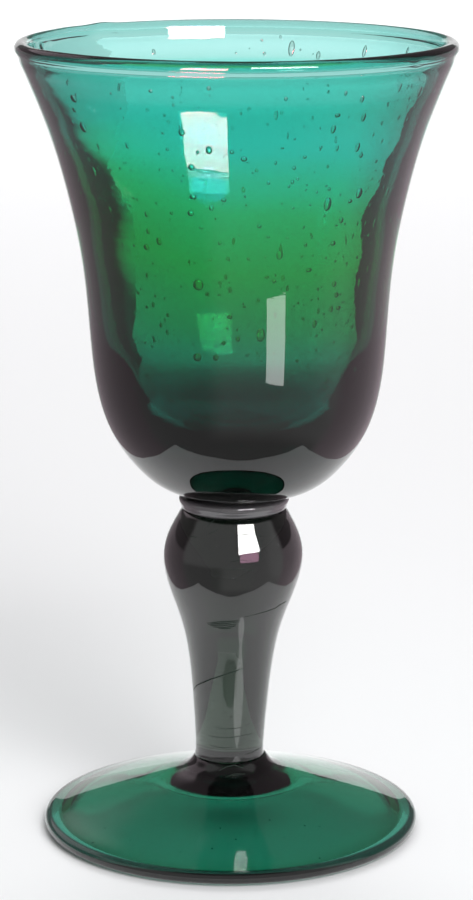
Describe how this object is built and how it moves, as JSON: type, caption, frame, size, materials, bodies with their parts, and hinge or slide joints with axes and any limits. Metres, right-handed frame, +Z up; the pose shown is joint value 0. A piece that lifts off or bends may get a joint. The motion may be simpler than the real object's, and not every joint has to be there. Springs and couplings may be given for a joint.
{
  "type": "goblet",
  "caption": "Hand-blown stemmed drinking glass: flared bowl with a rounded lip, thin collar, solid baluster stem with a knop, and a shallow conical foot, in bubbly green glass.",
  "frame": {"origin": "on the table under the centre of the rim, which is the bottom centre of the bounding box", "axes": "+Z up along the goblet, +X to the right and +Y away from the viewer of the picture"},
  "size_m": [0.092, 0.092, 0.17],
  "materials": {
    "bowl_glass": "clear emerald glass with seed bubbles, fire-polished, teal where thin and green to near-black where thick",
    "stem_glass": "the same glass in the solid, dark grey-green, with a twisted dark streak and small bubbles",
    "foot_glass": "the same glass as a thin spun foot, mid green with a darker rounded edge"
  },
  "bodies": {
    "root": {"bowl": "bowl_glass", "collar": "stem_glass", "stem": "stem_glass", "foot": "foot_glass"}
  },
  "joints": []
}
